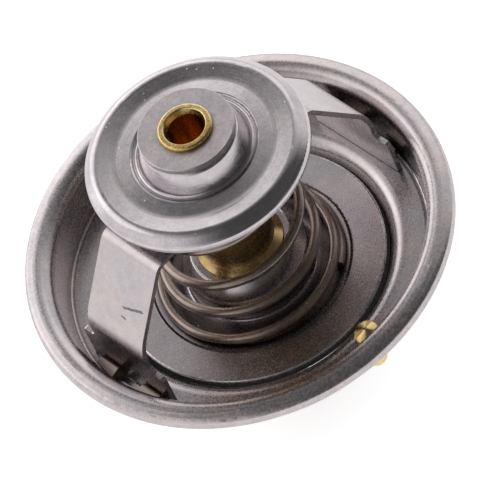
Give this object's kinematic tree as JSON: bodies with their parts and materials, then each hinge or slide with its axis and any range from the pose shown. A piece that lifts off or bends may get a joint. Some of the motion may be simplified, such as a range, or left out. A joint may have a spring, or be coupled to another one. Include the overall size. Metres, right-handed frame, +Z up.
{
  "type": "engine thermostat",
  "caption": "Wax-element coolant valve: stamped round flange with sprung valve plate, strap, rear bridge, bypass disc and vent pin.",
  "frame": {"origin": "on the valve axis, at the lower edge of the flange lip", "axes": "+Z up the valve axis towards the bypass disc, X through the two strap legs, the vent pin lies on -Y"},
  "size_m": [0.067, 0.067, 0.0619],
  "materials": {
    "zinc_steel": "satin stamped and plated steel sheet",
    "bright_steel": "ground steel rod",
    "spring_steel": "drawn spring wire, satin",
    "brass": "turned and drawn brass",
    "seal_rubber": "black moulded rubber",
    "wax": "copper-filled wax",
    "washer_plastic": "white low-friction plastic"
  },
  "bodies": {
    "frame": {"flange": "zinc_steel", "bridge": "zinc_steel", "piston": "bright_steel", "strap": "zinc_steel", "main_spring": "spring_steel"},
    "element": {"valve_plate": "zinc_steel", "valve_seal": "seal_rubber", "wax_cup": "brass", "guide_body": "brass", "rubber_boot": "seal_rubber", "wax_charge": "wax", "chafe_washer": "washer_plastic", "piston_wiper": "washer_plastic", "lock_ring": "spring_steel", "spring_washer": "zinc_steel", "hub_washer": "zinc_steel", "bypass_tube": "brass", "bypass_spring": "spring_steel"},
    "bypass": {"bypass_disc": "zinc_steel"},
    "jiggle": {"jiggle_pin": "brass", "jiggle_weight": "brass"}
  },
  "joints": [
    {"name": "valve_lift", "type": "slide", "parent": "frame", "child": "element", "axis": [0, 0, 1], "range_m": [0, 0.009], "stiffness_N_per_m": 5000, "springref_m": -0.012, "deforming": ["main_spring"]},
    {"name": "bypass_slide", "type": "slide", "parent": "element", "child": "bypass", "axis": [0, 0, 1], "range_m": [-0.0035, 0], "stiffness_N_per_m": 1500, "springref_m": 0.003, "deforming": ["bypass_spring"]},
    {"name": "jiggle_slide", "type": "slide", "parent": "frame", "child": "jiggle", "axis": [0, -0.0698, 0.9976], "range_m": [-0.0005, 0.0021]}
  ]
}
